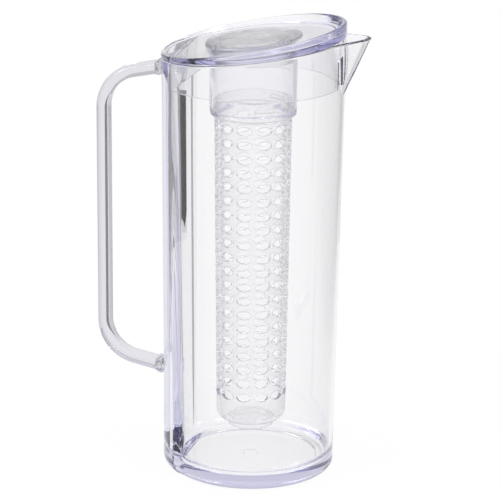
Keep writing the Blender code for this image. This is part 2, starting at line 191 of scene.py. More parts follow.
def outside_radius(z, bearing):
    """Radius of the outside, where the upright back stands proud of the round wall."""
    proud = max(BACK_RADIUS + BACK_DRAFT * z - wall_radius(z), 0.0)
    return wall_radius(z) + proud * back_share(bearing)


print("each ring of the wall has", RING, "points")

# %% Points of the plan
SPOUT_NARROWING = 1.07
SPOUT_THINNING = 0.2
FILLET_GROWTH = 0.4
HEIGHT_ROUNDS = 6


def spout_swell(y, inset, rise):
    """How far the spout stands out of the round wall, a bell across the spout."""
    half_width = SPOUT_ROOT_HALF_WIDTH + (SPOUT_HALF_WIDTH - SPOUT_ROOT_HALF_WIDTH) * rise
    across = y / (half_width - SPOUT_NARROWING * inset)
    if rise <= 0 or abs(across) >= 1:
        return 0.0
    return (SPOUT_SWELL * rise - SPOUT_THINNING * inset) * (1 - across ** 2) ** 2


def back_point(place, z, inset):
    """A point on the flat inside of the back or its corner, and the bearing where the round wall starts."""
    radius = wall_radius(z) - WALL - inset
    flat = INNER_FLAT + INNER_FLAT_DRAFT * z - inset
    fillet = INNER_FILLET + FILLET_GROWTH * max(inset, 0.0)
    corner_y = math.sqrt((radius - fillet) ** 2 - (flat - fillet) ** 2)
    turn = math.atan2(corner_y, flat - fillet)
    if place < FLAT_STEPS:
        return -flat, flat * math.tan(math.atan2(corner_y, flat) * place / FLAT_STEPS), turn
    angle = turn * (place - FLAT_STEPS) / FILLET_STEPS
    return -(flat - fillet) - fillet * math.cos(angle), corner_y + fillet * math.sin(angle), turn


def plan_point(place, z, inset, rise, inside):
    """One point of the half plan, from mid back to the lip, inset from the wall's outer or inner face."""
    depth = inset + WALL if inside else inset
    x, y, turn = back_point(min(place, FLAT_STEPS + FILLET_STEPS), z, inset if inside else 0.0)
    bearing = math.atan2(y, -x)
    place -= FLAT_STEPS + FILLET_STEPS + 1
    if place >= RUN_OUT_STEPS + ARC_STEPS:
        bearing = math.pi - SPOUT_ARC * (1 - (place - RUN_OUT_STEPS - ARC_STEPS) / SPOUT_STEPS)
    elif place >= RUN_OUT_STEPS:
        bearing = BACK_END + (math.pi - SPOUT_ARC - BACK_END) * (place - RUN_OUT_STEPS) / ARC_STEPS
    elif place >= 0:
        bearing = turn + (BACK_END - turn) * (place + 1) / (RUN_OUT_STEPS + 1)
    if inside and place < 0:
        return x, y
    reach = wall_radius(z) - depth if inside else outside_radius(z, bearing) - depth
    y = reach * math.sin(bearing)
    # Known fault: the swell is added at mid back too, so the outside of the back is dented under the lid.
    return -reach * math.cos(bearing) + spout_swell(y, depth, rise), y


def mirrored(half):
    """The whole ring of a half plan, without doubling the points at mid back and at the lip."""
    return half + [Vector((p.x, -p.y, p.z)) for p in half[-2:0:-1]]


def plan_ring(inset, height, rise=0.0, inside=False):
    """A ring of the plan, each point at the height that height(x) gives, with x from the axis."""
    half = []
    for place in range(HALF):
        z = height(0)
        for _ in range(HEIGHT_ROUNDS):
            x, y = plan_point(place, z, inset, rise, inside)
            z = height(x)
        half.append(Vector((x, y, z)))
    return mirrored(half)


def inner_ring(inset, height):
    """A ring of the jug's inside below the spout."""
    return plan_ring(inset, height, 0, True)


# %% Round rings and heights
LIP_REACH = 80 * MM


def level(z):
    """The same height at every x."""
    return lambda x: z


def above(height, lift):
    """Another height function, lifted."""
    return lambda x: height(x) + lift


def rim_plane(x):
    """The slanted plane of the jug's rim."""
    return RIM_HEIGHT + RIM_SLOPE * x


def quarter(steps):
    """Angles from 0 to 90 degrees, for rounding a corner."""
    return [k * math.pi / 2 / steps for k in range(steps + 1)]


BEARINGS = [math.atan2(point.y, point.x) for point in inner_ring(0, level(RIM_HEIGHT))]


def round_ring(radius, height):
    """A round ring whose points have the bearings of the plan's, so that the two can be joined."""
    ring = []
    for bearing in BEARINGS:
        x = radius * math.cos(bearing)
        ring.append(Vector((x, radius * math.sin(bearing), height(x))))
    return ring


print("the rim rises from", round(rim_plane(-BACK_RADIUS), 4), "to", round(rim_plane(LIP_REACH), 4))

# %% [markdown]
# ## Extruding ring by ring
# A wall starts as a plain circle. Each step extrudes its loose edge and sets the new ring down on the
# plan. A whole-number attribute holds every vertex's place in the ring. Extruding copies it, so a new
# vertex knows where it belongs.

# %% Ring tools
def start_ring(name):
    """A plain circle whose vertices carry their places in the ring."""
    rest()
    bpy.ops.mesh.primitive_circle_add(vertices=RING, radius=BASE_RADIUS, fill_type="NOTHING")
    piece = name_new(name)
    places = piece.data.attributes.new("place", "INT", "POINT")
    places.data.foreach_set("value", list(range(RING)))
    return piece


def set_down(piece, ring):
    """Move the selected vertices to their places on a ring."""
    shape = bmesh.from_edit_mesh(piece.data)
    place = shape.verts.layers.int["place"]
    for vertex in shape.verts:
        if vertex.select:
            vertex.co = ring[vertex[place]] + AXIS
    bmesh.update_edit_mesh(piece.data)


def extrude_rings(name, rings):
    """A piece whose surface runs through all the rings, with both ends still open."""
    piece = start_ring(name)
    edit(piece)
    bpy.ops.mesh.select_all(action="SELECT")
    set_down(piece, rings[0])
    for ring in rings[1:]:
        bpy.ops.mesh.extrude_edges_move()
        set_down(piece, ring)
    return piece


def fill_ends():
    """Close the last ring and then the first with a face each."""
    bpy.ops.mesh.edge_face_add()
    pick_open_edges()
    bpy.ops.mesh.edge_face_add()


# %% [markdown]
# ## The jug
# One surface runs from the gate mark under the floor, over the foot ring and up the outside, over the
# rounded rim, down the inside and across the floor. The floor is thick and curves up into the wall, as
# moulded clear plastic needs it to. Extruding it in one go keeps the wall's thickness true everywhere.

# %% Foot and outside of the jug
FLOOR_HEIGHT = 8.5 * MM
FLOOR_FILLET = 8.0 * MM
FOOT_ROUND = 4.0 * MM
BACK_FOOT_ROUND = 7.0 * MM
RECESS_RADIUS = 46.5 * MM
RECESS_DEPTH = 1.2 * MM
GATE_RADIUS = 5.6 * MM
WALL_LEVELS = [30, 60, 90, 120, 150, 180, 205, 225, 240, 251, 259, 264, 268]
RISES = [0.06, 0.12, 0.2, 0.28, 0.36, 0.44, 0.52, 0.6, 0.68, 0.76, 0.84, 0.9, 0.95]


def risen(rise, drop=0.0):
    """Height of a ring that leans from level at the spout's foot to the slanted rim."""
    return lambda x: SPOUT_FOOT + rise * (rim_plane(x) - SPOUT_FOOT) - drop


def foot_ring(turn):
    """A ring of the rounded lower edge, which is larger under the upright back."""
    half = []
    for place in range(HALF):
        x, y = plan_point(place, 0.0, 0.0, 0.0, False)
        bearing = math.atan2(y, -x)
        edge = FOOT_ROUND + (BACK_FOOT_ROUND - FOOT_ROUND) * back_share(bearing)
        z = edge * (1 - math.cos(turn))
        reach = math.hypot(x, y) + WALL_DRAFT * z - edge * (1 - math.sin(turn))
        half.append(Vector((-reach * math.cos(bearing), reach * math.sin(bearing), z)))
    return mirrored(half)


underside = ((GATE_RADIUS - 0.3 * MM, RECESS_DEPTH + 0.5 * MM), (GATE_RADIUS, RECESS_DEPTH),
             (RECESS_RADIUS - 2.0 * MM, RECESS_DEPTH), (RECESS_RADIUS - 0.8 * MM, RECESS_DEPTH - 0.3 * MM),
             (RECESS_RADIUS - 0.2 * MM, 0.2 * MM), (RECESS_RADIUS + 0.6 * MM, 0))
jug_rings = [round_ring(radius, level(z)) for radius, z in underside]
jug_rings += [foot_ring(angle) for angle in quarter(6)]
jug_rings += [plan_ring(0, level(z * MM)) for z in WALL_LEVELS]
jug_rings += [plan_ring(0, risen(rise), rise) for rise in RISES]
print("outside of the jug:", len(jug_rings), "rings")

# %% Rim and inside of the jug
RIM_ROUND = 1.1 * MM
for angle in quarter(4):
    drop = RIM_ROUND * (1 - math.sin(angle))
    jug_rings.append(plan_ring(RIM_ROUND * (1 - math.cos(angle)), risen(1, drop), 1))
for angle in reversed(quarter(4)):
    drop = RIM_ROUND * (1 - math.sin(angle))
    jug_rings.append(plan_ring(-RIM_ROUND * (1 - math.cos(angle)), risen(1, drop), 1, True))
jug_rings += [plan_ring(0, risen(rise), rise, True) for rise in reversed(RISES)]
jug_rings += [inner_ring(0, level(z * MM)) for z in reversed(WALL_LEVELS)]
for angle in quarter(8):
    jug_rings.append(inner_ring(FLOOR_FILLET * (1 - math.cos(angle)),
                                level(FLOOR_HEIGHT + FLOOR_FILLET * (1 - math.sin(angle)))))
jug = extrude_rings("clear_jug", jug_rings)
fill_ends()
close_up(jug)

# %% [markdown]
# ## Seats for the handle
# The handle is bonded to two low seats with locating pins that are moulded on the back. A seat starts as a
# plane with rounded corners, which is extruded along the arm's line. A Boolean union is there to make seat
# and wall one solid, because two clear solids that only overlap would show a false surface inside. It does so
# for the lower seat. The upper one stays loose, a few millimetres off the wall, because plan_point dents the
# back there.

# %% The bar's section and the arms' lines
BAR_DEPTH = 8.8 * MM
BAR_WIDTH = 12.0 * MM
BAR_ROUND = 3.0 * MM
GRIP_X = -109.3 * MM + BAR_DEPTH / 2
ARM_SLOPE = 0.2035
UPPER_ARM_HEIGHT = 271.9 * MM
LOWER_ARM_HEIGHT = 74.8 * MM


def arm_point(x, side):
    """Point on an arm's middle line; side is 1 for the upper arm and -1 for the lower."""
    height = UPPER_ARM_HEIGHT if side > 0 else LOWER_ARM_HEIGHT
    return AXIS + Vector((x, 0, height + side * ARM_SLOPE * (x - GRIP_X)))


def add_bar_section(name, place, turn, scale=1.0):
    """A plane with rounded corners, as wide and deep as the bar; leaves it selected in edit mode."""
    rest()
    bpy.ops.mesh.primitive_plane_add(size=1, location=place, rotation=(0, turn, 0))
    bpy.context.object.scale = (BAR_DEPTH * scale, BAR_WIDTH * scale, 1)
    piece = name_new(name)
    edit(piece)
    bpy.ops.mesh.select_all(action="SELECT")
    bpy.ops.mesh.bevel(offset=BAR_ROUND * scale, segments=6, affect="VERTICES")
    bpy.ops.mesh.select_all(action="SELECT")
    return piece


def step_along(start, end, grow=1.0):
    """Extrude the selected end from one point to another, and scale it there."""
    bpy.ops.mesh.extrude_region_move(TRANSFORM_OT_translate={"value": end - start})
    if grow != 1.0:
        bpy.ops.transform.resize(value=(1, grow, grow), center_override=end)


# %% Seats and pins
SEAT_REACH = 62.4 * MM
PIN_RADIUS = 2.5 * MM
PIN_LENGTH = 4.0 * MM
PIN_ROOT = 3 * MM
PIN_SIDES = 40
GAP = 0.3 * MM


def add_pin(name, start, end, radius):
    """A round rod between two points, as a helper solid."""
    rest()
    bpy.ops.mesh.primitive_cylinder_add(vertices=PIN_SIDES, radius=radius, depth=(end - start).length,
                                        location=(start + end) / 2)
    bpy.context.object.rotation_euler = (end - start).to_track_quat("Z", "Y").to_euler()
    return name_new(name)


def follow(places):
    """Extrude the selected end through points, each with the section's scale there."""
    for (start, scale), (end, next_scale) in zip(places, places[1:]):
        step_along(start, end, next_scale / scale)


def add_seat(name, side):
    """A seat with its pin; stations give the way out along the arm in millimetres and the scale there."""
    stations = ((4.0, 1.12), (0.25, 1.12), (0.07, 1.11), (0.0, 1.09))
    places = [(arm_point(-SEAT_REACH + x * MM, side), scale) for x, scale in stations]
    seat = add_bar_section(name, places[0][0], math.pi / 2, places[0][1])
    follow(places)
    close_up(seat)
    root = arm_point(-SEAT_REACH + PIN_ROOT, side)
    tip = arm_point(-SEAT_REACH - PIN_LENGTH, side)
    merge_solid(seat, add_pin("pin", root, tip, PIN_RADIUS), "UNION")
    return seat


for side, name in ((1, "upper_seat"), (-1, "lower_seat")):
    merge_solid(jug, add_seat(name, side), "UNION")
close_up(jug)

# %% [markdown]
# ## The handle
# The handle is one bar, and its lower half mirrors its upper half. So the section is extruded up from the
# middle of the grip, spun round the bend and extruded along the arm to a thicker collar. The half is then
# duplicated and scaled by minus one. The collar ends in a socket for the seat's pin.

# %% Upper half of the handle
BEND_RADIUS = 27.0 * MM
BEND_SWEEP = math.pi / 2 - math.atan(ARM_SLOPE)
BEND_REACH = BEND_RADIUS * math.tan(BEND_SWEEP / 2)
BEND_STEPS = 24
HANDLE_END = -SEAT_REACH - GAP
GRIP_MIDDLE = (UPPER_ARM_HEIGHT + LOWER_ARM_HEIGHT) / 2


def slide_upright(piece, x):
    """Slide the selected vertices along the upper arm until they lie in the upright plane at x."""
    shape = bmesh.from_edit_mesh(piece.data)
    for vertex in shape.verts:
        if vertex.select:
            step = AXIS.x + x - vertex.co.x
            vertex.co += Vector((step, 0, ARM_SLOPE * step))
    bmesh.update_edit_mesh(piece.data)


middle = AXIS + Vector((GRIP_X, 0, GRIP_MIDDLE))
bend_start = AXIS + Vector((GRIP_X, 0, UPPER_ARM_HEIGHT - BEND_REACH))
handle = add_bar_section("clear_handle", middle, 0)
step_along(middle, bend_start)
bend_middle = bend_start + Vector((BEND_RADIUS, 0, 0))
bpy.ops.mesh.spin(steps=BEND_STEPS, angle=-BEND_SWEEP, center=bend_middle, axis=(0, 1, 0))
ends = [vertex.co.x for vertex in bmesh.from_edit_mesh(handle.data).verts if vertex.select]
print("the bend ends", round((sum(ends) / len(ends) - AXIS.x - GRIP_X) / MM, 2), "mm in from the grip")

# %% Collar, mirrored half and pin sockets
FACING = 0.9
SOCKET_MOUTH = 1 * MM


def level_at(reach, *heights):
    """A test for faces that lie level, within a reach of one of the heights."""
    return lambda centre, normal: abs(normal.z) > FACING and min(abs(centre.z - z) for z in heights) < reach


stations = ((-5.3, 1.0), (-4.5, 1.03), (-4.0, 1.1), (-3.5, 1.17), (-2.0, 1.2), (-0.7, 1.19), (-0.2, 1.15),
            (0.0, 1.1))
places = [(arm_point(HANDLE_END + x * MM, 1), scale) for x, scale in stations]
bpy.ops.mesh.extrude_region_move()
slide_upright(handle, HANDLE_END + stations[0][0] * MM)
follow(places)
pick_faces(handle, level_at(0.01 * MM, GRIP_MIDDLE))
bpy.ops.mesh.delete(type="FACE")
bpy.ops.mesh.select_all(action="SELECT")
bpy.ops.mesh.duplicate()
bpy.ops.transform.resize(value=(1, 1, -1), center_override=middle)
close_up(handle)
for side in (1, -1):
    start = arm_point(HANDLE_END + SOCKET_MOUTH, side)
    socket = add_pin("socket", start, arm_point(HANDLE_END - PIN_LENGTH - GAP, side), PIN_RADIUS + GAP)
    merge_solid(handle, socket, "DIFFERENCE")
close_up(handle)

# %% [markdown]
# ## The lid
# The lid is one moulding: a slanted plate with a raised rim that grows towards the spout, a skirt inside
# the jug that follows its plan, and a round collar that holds the infuser rod. Its section is again
# extruded ring by ring, and the last ring is bridged to the first. Small corner radii catch the light, so
# they are modelled.

# %% Raised rim of the lid
LID_RADIUS = 62.5 * MM
PLATE = 2.8 * MM
LID_RIM_WIDTH = 4.1 * MM
CREST_ROUND = 2.0 * MM
CREST_HEIGHT = 305.25 * MM
CREST_SLOPE = 0.179
RIM_FOOT_GAP = 1.2 * MM
RIM_FOOT_RUN = 0.45
RIM_FOOT_ROUND = 0.6 * MM
INNER_STEPS = 12
lid_under = above(rim_plane, GAP)
lid_panel = above(lid_under, PLATE)


def crest_plane(x):
    """The plane of the rim's crest, steeper than the plate's."""
    return CREST_HEIGHT + CREST_SLOPE * x


def inner_slope(step, x):
    """Radius and height on the rim's inner side, a soft S from the plate up to the crest."""
    share = step / INNER_STEPS
    height = crest_plane(x) - lid_panel(x)
    foot = LID_RADIUS - LID_RIM_WIDTH - RIM_FOOT_GAP - RIM_FOOT_RUN * height
    crest = LID_RADIUS - CREST_ROUND
    return foot + (crest - foot) * share, lid_panel(x) + height * share * share * (3 - 2 * share)


def outer_top(angle, x):
    """Radius and height on the rounded crest."""
    radius = LID_RADIUS - CREST_ROUND * (1 - math.sin(angle))
    return radius, crest_plane(x) - CREST_ROUND * (1 - math.cos(angle))


def outer_foot(angle, x):
    """Radius and height on the rounded lower edge."""
    radius = LID_RADIUS - RIM_FOOT_ROUND * (1 - math.cos(angle))
    return radius, lid_under(x) + RIM_FOOT_ROUND * (1 - math.sin(angle))


def rim_ring(section, step):
    """A ring of the raised rim, from a function that gives radius and height at each x."""
    ring = []
    for bearing in BEARINGS:
        radius, z = section(step, LID_RADIUS * math.cos(bearing))
        ring.append(Vector((radius * math.cos(bearing), radius * math.sin(bearing), z)))
    return ring


rim_rings = [rim_ring(inner_slope, step) for step in range(INNER_STEPS)]
rim_rings += [rim_ring(outer_top, angle) for angle in quarter(6)]
rim_rings += [rim_ring(outer_foot, angle) for angle in quarter(4)]
print("raised rim:", len(rim_rings), "rings")

# %% Skirt of the lid
SKIRT_INSET = 0.7 * MM
SKIRT_WALL = 2.2 * MM
SKIRT_BOTTOM = 273.0 * MM
SKIRT_SHOULDER = level(SKIRT_BOTTOM + 8 * MM)
SKIRT_FLARE = 0.4 * MM
EDGE = 0.5 * MM


def lower_edge(ring_at, first, second, bottom):
    """Rings over a wall's lower edge, from its first face round two corners to its second."""
    inwards = math.copysign(EDGE, second - first)
    rings = []
    for face, way, angles in ((first, inwards, quarter(3)), (second, -inwards, reversed(quarter(3)))):
        for angle in angles:
            height = level(bottom + EDGE * (1 - math.sin(angle)))
            rings.append(ring_at(face + way * (1 - math.cos(angle)), height))
    return rings


skirt_inner = SKIRT_INSET + SKIRT_WALL
skirt_rings = [inner_ring(SKIRT_INSET, lid_under), inner_ring(SKIRT_INSET, SKIRT_SHOULDER)]
skirt_rings += lower_edge(inner_ring, SKIRT_INSET, skirt_inner, SKIRT_BOTTOM)
skirt_rings += [inner_ring(skirt_inner, SKIRT_SHOULDER), inner_ring(skirt_inner + SKIRT_FLARE, lid_under)]
print("skirt:", len(skirt_rings), "rings")

# %% Collar of the lid
SOCKET_RADIUS = 29.7 * MM
SOCKET_BORE = 27.3 * MM
SOCKET_BOTTOM = 255.5 * MM
collar_rings = [round_ring(SOCKET_RADIUS + 0.8 * MM, lid_under),
                round_ring(SOCKET_RADIUS + 0.2 * MM, above(lid_under, -1 * MM))]
collar_rings += lower_edge(round_ring, SOCKET_RADIUS, SOCKET_BORE, SOCKET_BOTTOM)
lid_rings = [round_ring(SOCKET_BORE, lid_panel)] + rim_rings + skirt_rings + collar_rings
lid = extrude_rings("clear_lid", lid_rings)
pick_open_edges()
bpy.ops.mesh.bridge_edge_loops()
close_up(lid)

# %% [markdown]
# ### Pouring notch and lock ramps
# The skirt has a round-topped notch behind the spout, so that the jug pours with the lid on. Low ramps in
# the collar hold the rod. The notch is a rounded block that is cut away. A ramp is a small rectangle that is
# spun about the axis and then united with the collar.

# %% Notch
NOTCH_HALF_WIDTH = 7.0 * MM
NOTCH_TOP = 294.0 * MM
NOTCH_LOW = SKIRT_BOTTOM - 3 * MM
NOTCH_X = 53 * MM
NOTCH_DEPTH = 20 * MM
NOTCH_ROUND = 3 * MM
rest()
notch_middle = AXIS + Vector((NOTCH_X, 0, (NOTCH_TOP + NOTCH_LOW) / 2))
bpy.ops.mesh.primitive_cube_add(size=1, location=notch_middle)
bpy.context.object.scale = (NOTCH_DEPTH, 2 * NOTCH_HALF_WIDTH, NOTCH_TOP - NOTCH_LOW)
notch = name_new("notch")
edit(notch)
bpy.ops.mesh.select_mode(type="EDGE")
bpy.ops.mesh.select_all(action="DESELECT")
shape = bmesh.from_edit_mesh(notch.data)
for edge in shape.edges:
    ends = [vertex.co for vertex in edge.verts]
    if abs(ends[0].x - ends[1].x) > MM and min(end.z for end in ends) > NOTCH_TOP - MM:
        edge.select_set(True)
bmesh.update_edit_mesh(notch.data)
bpy.ops.mesh.bevel(offset=NOTCH_ROUND, segments=8)
rest()
merge_solid(lid, notch, "DIFFERENCE")
print("pouring notch cut,", round(2 * NOTCH_HALF_WIDTH / MM), "mm wide")

# %% Ramps
LOCK_TURNS = (60, 180, 300)
RAMP_SPAN = 50 * DEG
RAMP_STEPS = 10
RAMP_INNER = 26.4 * MM
RAMP_OUTER = SOCKET_BORE + 0.8 * MM
RAMP_BOTTOM, RAMP_TOP = 256.0 * MM, 258.0 * MM


def add_ramp(bearing):
    """A rectangle that stands on a radius and is spun about the axis."""
    rest()
    start = bearing - RAMP_SPAN / 2
    reach = (RAMP_INNER + RAMP_OUTER) / 2
    place = AXIS + Vector((reach * math.cos(start), reach * math.sin(start), (RAMP_BOTTOM + RAMP_TOP) / 2))
    bpy.ops.mesh.primitive_plane_add(size=1, location=place, rotation=(math.pi / 2, 0, start))
    bpy.context.object.scale = (RAMP_OUTER - RAMP_INNER, RAMP_TOP - RAMP_BOTTOM, 1)
    ramp = name_new("ramp")
    edit(ramp)
    bpy.ops.mesh.select_all(action="SELECT")
    bpy.ops.mesh.spin(steps=RAMP_STEPS, angle=-RAMP_SPAN, center=AXIS, axis=(0, 0, 1))
    close_up(ramp)
    return ramp


for turn in LOCK_TURNS:
    merge_solid(lid, add_ramp(turn * DEG), "UNION")
close_up(lid)

# %% [markdown]
# ## The cap
# A low round cap closes the collar from above, with a plug inside it. It is turned work, but it lies on the
# slanted plate, so it is extruded from round rings whose heights follow that slope.

# %% Cap
CAP_RADIUS = 32.7 * MM
CAP_RISE = 2.2 * MM
CAP_FLATTER = 0.027
CAP_DOME = 0.6 * MM
CAP_WALL = 2.0 * MM
CAP_ROUND = 1.2 * MM
CAP_FOOT_ROUND = 0.3 * MM
DOME_SHARES = (0.15, 0.3, 0.45, 0.6, 0.75, 0.88)
DOME_SINK = 0.1 * MM
PLUG = SOCKET_BORE - GAP - 0.1 * MM
PLUG_INNER = PLUG - CAP_WALL
PLUG_BOTTOM, PLUG_EDGE_TOP = level(290 * MM), level(290.4 * MM)
PLUG_EDGE = 0.4 * MM
CAP_FILLET = 1 * MM
cap_seat = above(lid_panel, GAP)


def cap_top(x):
    """The cap's top, a little flatter than the plate that it lies on."""
    return cap_seat(x) + CAP_RISE - CAP_FLATTER * x


cap_rings = []
for share in DOME_SHARES:
    cap_rings.append(round_ring(share * CAP_RADIUS, above(cap_top, CAP_DOME * (1 - share ** 2) - DOME_SINK)))
for angle in quarter(5):
    cap_rings.append(round_ring(CAP_RADIUS - CAP_ROUND * (1 - math.sin(angle)),
                                above(cap_top, -CAP_ROUND * (1 - math.cos(angle)))))
foot_and_plug = ((CAP_RADIUS, above(cap_seat, CAP_FOOT_ROUND)), (CAP_RADIUS - CAP_FOOT_ROUND, cap_seat),
                 (PLUG, cap_seat), (PLUG, PLUG_EDGE_TOP), (PLUG - PLUG_EDGE, PLUG_BOTTOM),
                 (PLUG_INNER + PLUG_EDGE, PLUG_BOTTOM), (PLUG_INNER, PLUG_EDGE_TOP),
                 (PLUG_INNER, above(cap_top, -CAP_WALL - CAP_FILLET)),
                 (PLUG_INNER - CAP_FILLET, above(cap_top, -CAP_WALL)))
cap_rings += [round_ring(radius, height) for radius, height in foot_and_plug]
cap = extrude_rings("clear_cap", cap_rings)
fill_ends()
close_up(cap)

# %% [markdown]
# ## The infuser rod
# The rod is the piece that takes most care: a tapered tube with twelve columns of twenty oval holes. One
# cell with one hole is modelled flat. Two Array modifiers repeat it, and the sheet is then wrapped round the
# axis. A Simple Deform modifier could bend it too, but the tube tapers, so each vertex is moved by formula.

# %% One cell with its hole
COLUMNS, ROWS = 12, 20
HOLE_PITCH = 10.0 * MM
FIRST_ROW = 55.0 * MM
HOLE_HALF_WIDTH = 5.2 * MM
HOLE_HALF_HEIGHT = 2.9 * MM
CELL_WIDTH = 13.2 * MM
AROUND_HOLE = 16
LAND_GROWTH = (1.2, 1.42, 1)


def border_point(number):
    """Points spread evenly round the cell's border, with one on each corner."""
    side, step = divmod((number + AROUND_HOLE // 8) % AROUND_HOLE, AROUND_HOLE // 4)
    along = 2 * step / (AROUND_HOLE // 4) - 1
    across, up = ((1, along), (-along, 1), (-1, -along), (along, -1))[side]
    return Vector((across * CELL_WIDTH / 2, up * HOLE_PITCH / 2, 0))


rest()
bpy.ops.mesh.primitive_circle_add(vertices=AROUND_HOLE, radius=1, fill_type="NOTHING")
rod = name_new("clear_infuser_rod")
places = rod.data.attributes.new("place", "INT", "POINT")
turns = [math.atan2(vertex.co.y, vertex.co.x) / math.tau for vertex in rod.data.vertices]
places.data.foreach_set("value", [round(turn * AROUND_HOLE) % AROUND_HOLE for turn in turns])
edit(rod)
bpy.ops.mesh.select_all(action="SELECT")
bpy.ops.transform.resize(value=(HOLE_HALF_WIDTH, HOLE_HALF_HEIGHT, 1))
bpy.ops.mesh.extrude_edges_move()
bpy.ops.transform.resize(value=LAND_GROWTH)
bpy.ops.mesh.extrude_edges_move()
shape = bmesh.from_edit_mesh(rod.data)
place = shape.verts.layers.int["place"]
for vertex in shape.verts:
    if vertex.select:
        vertex.co = border_point(vertex[place])
bmesh.update_edit_mesh(rod.data)
rest()
print("one cell has", len(rod.data.polygons), "faces")

# %% Repeat the cell and wrap the sheet
TUBE_BOTTOM, TUBE_BOTTOM_RADIUS = 41.0 * MM, 24.0 * MM
TUBE_TOP, TUBE_TOP_RADIUS = 250.5 * MM, 26.4 * MM
ROD_WALL = 2.2 * MM
CELL_SEAM, TUBE_SEAM = 0.01 * MM, 0.02 * MM


def tube_radius(z):
    """Outer radius of the tapered tube."""
    share = (z - TUBE_BOTTOM) / (TUBE_TOP - TUBE_BOTTOM)
    return TUBE_BOTTOM_RADIUS + share * (TUBE_TOP_RADIUS - TUBE_BOTTOM_RADIUS)


for count, offset in ((COLUMNS, (CELL_WIDTH, 0, 0)), (ROWS, (0, HOLE_PITCH, 0))):
    apply_modifier(rod, "ARRAY", count=count, use_relative_offset=False, use_constant_offset=True,
                   constant_offset_displace=offset, use_merge_vertices=True, merge_threshold=CELL_SEAM)
edit(rod)
shape = bmesh.from_edit_mesh(rod.data)
for vertex in shape.verts:
    bearing = vertex.co.x / CELL_WIDTH * math.tau / COLUMNS
    z = FIRST_ROW + vertex.co.y
    vertex.co = AXIS + Vector((tube_radius(z) * math.cos(bearing), tube_radius(z) * math.sin(bearing), z))
bmesh.update_edit_mesh(rod.data)
bpy.ops.mesh.select_all(action="SELECT")
bpy.ops.mesh.remove_doubles(threshold=TUBE_SEAM)
bpy.ops.mesh.normals_make_consistent(inside=False)
rest()
apply_modifier(rod, "SOLIDIFY", thickness=ROD_WALL, offset=-1, use_even_offset=True, use_rim=True)
print("perforated tube:", COLUMNS * ROWS, "holes,", len(rod.data.polygons), "faces")

# %% [markdown]
# ### Neck and bowl of the rod
# Solidify has also closed the tube's two ends with flat rings. Those rings are deleted, and the open edges
# are extruded on: upwards into a bead and a neck for the lock, downwards into a rounded bowl with a foot.

# %% Open the ends again
ROD_MIDDLE = 150 * MM
END_REACH = 0.1 * MM


def pick_ring(piece, top, outer=None):
    """Select the open edges at the tube's top or bottom: the outer one, the inner one or both."""
    pick_open_edges()
    shape = bmesh.from_edit_mesh(piece.data)
    for vertex in shape.verts:
        out = math.hypot(vertex.co.x - AXIS.x, vertex.co.y) > tube_radius(vertex.co.z) - ROD_WALL / 2
        high = vertex.co.z > ROD_MIDDLE
        if vertex.select and (high != top or outer not in (None, out)):
            vertex.select = False
    shape.select_flush(False)
    bmesh.update_edit_mesh(piece.data)


def extrude_profile(piece, profile):
    """Extrude the selected ring through radii and heights in millimetres, keeping each bearing."""
    for radius, z in profile:
        bpy.ops.mesh.extrude_edges_move()
        shape = bmesh.from_edit_mesh(piece.data)
        for vertex in shape.verts:
            if vertex.select:
                out = Vector((vertex.co.x - AXIS.x, vertex.co.y, 0)).normalized()
                vertex.co = AXIS + out * radius * MM + Vector((0, 0, z * MM))
        bmesh.update_edit_mesh(piece.data)


SHEET_LOW = FIRST_ROW - HOLE_PITCH / 2
SHEET_HIGH = SHEET_LOW + ROWS * HOLE_PITCH
edit(rod)
removed = pick_faces(rod, level_at(END_REACH, SHEET_LOW, SHEET_HIGH))
bpy.ops.mesh.delete(type="FACE")
print("opened the tube's ends:", removed, "faces removed")

# %% Neck with bead
BEAD_PROFILE = [(26.4, 250.5), (27.2, 250.7), (28.6, 251.5), (29.3, 252.4), (29.5, 253.2), (29.45, 254.3),
                (29.1, 254.95), (28.6, 255.2), (26.4, 255.2)]
NECK_PROFILE = [(26.0, 255.6), (26.0, 258.4), (26.0, 260.6), (26.0, 263.4), (25.7, 263.9), (25.1, 264.0),
                (24.6, 263.9), (24.2, 263.4)]
pick_ring(rod, top=True, outer=True)
extrude_profile(rod, BEAD_PROFILE + NECK_PROFILE)
pick_ring(rod, top=True)
bpy.ops.mesh.bridge_edge_loops()
print("neck closed")

# %% Lugs
LUG_LOW, LUG_MIDDLE, LUG_HIGH = 258.4 * MM, 259.5 * MM, 260.6 * MM
LUG_FACING = 0.955
LUG_GROWTH = 27 / 26
NECK_MIDDLE = 24.5 * MM
for turn in LOCK_TURNS:
    way = Vector((math.cos(turn * DEG), math.sin(turn * DEG), 0))
    found = pick_faces(rod, lambda centre, normal: LUG_LOW < centre.z < LUG_HIGH
                       and normal.dot(way) > LUG_FACING and (centre - AXIS).dot(way) > NECK_MIDDLE)
    bpy.ops.mesh.extrude_region_move()
    hub = AXIS + Vector((0, 0, LUG_MIDDLE))
    bpy.ops.transform.resize(value=(LUG_GROWTH, LUG_GROWTH, 1), center_override=hub)
print("three lugs of", found, "faces each")

# %% Bowl and foot
BOWL_TOP = 41
FOOT_PROFILE = [(15.6, 32.6), (15.6, 29.4), (15.2, 29.0), (14.0, 29.0), (13.6, 29.4), (13.6, 33.0)]
HOLE_ROUND = 0.85 * MM
ROD_SHARP = 40


def bowl_profile(radius, rounding, steps):
    """Radii and heights in millimetres down a rounded bowl."""
    return [(radius - rounding * (1 - math.cos(angle)), BOWL_TOP - rounding * math.sin(angle))
            for angle in quarter(steps)]


